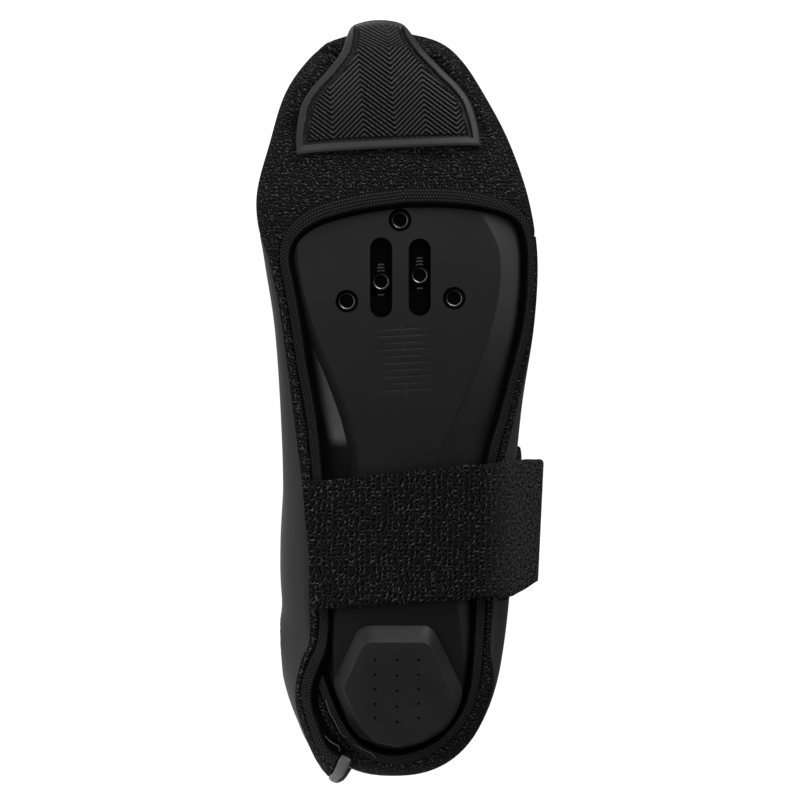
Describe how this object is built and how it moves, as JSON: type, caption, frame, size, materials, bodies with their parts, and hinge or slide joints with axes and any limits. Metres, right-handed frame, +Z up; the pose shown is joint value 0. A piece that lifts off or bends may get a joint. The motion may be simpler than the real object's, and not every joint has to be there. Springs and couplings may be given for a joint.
{
  "type": "cycling overshoe",
  "caption": "Ankle-high cycling overshoe with a knit toe, ribbed rubber toe guard, arch strap and open underside closed by a road cycling sole, lying on its side.",
  "frame": {"origin": "bottom centre of the overshoe's bounding box, on the floor that its medial side lies on", "axes": "+X runs from the toe to the heel, -Y is the way the sole faces, +Y is towards the collar, +Z is up and on the lateral side"},
  "size_m": [0.2862, 0.2068, 0.1046],
  "materials": {
    "coated_fabric": "matte coated stretch fabric",
    "looped_knit": "coarse looped knit",
    "elastic_tape": "ribbed woven elastic",
    "moulded_rubber": "matte moulded rubber",
    "composite_plate": "satin moulded composite",
    "dark_steel": "blackened steel",
    "grey_tape": "grey reflective tape",
    "insole_cloth": "matte dark cloth"
  },
  "bodies": {
    "root": {"upper": "coated_fabric", "toe_panel": "looped_knit", "rand_lateral": "looped_knit", "rand_medial": "looped_knit", "binding": "elastic_tape", "toe_guard": "moulded_rubber", "strap": "looped_knit", "strap_tab": "looped_knit", "strap_patch": "looped_knit", "closure_tape": "grey_tape", "sole_plate": "composite_plate", "heel_pad": "moulded_rubber", "insole": "insole_cloth", "insert_front": "dark_steel", "insert_medial": "dark_steel", "insert_lateral": "dark_steel", "slot_nut_medial": "dark_steel", "slot_nut_lateral": "dark_steel"}
  },
  "joints": []
}
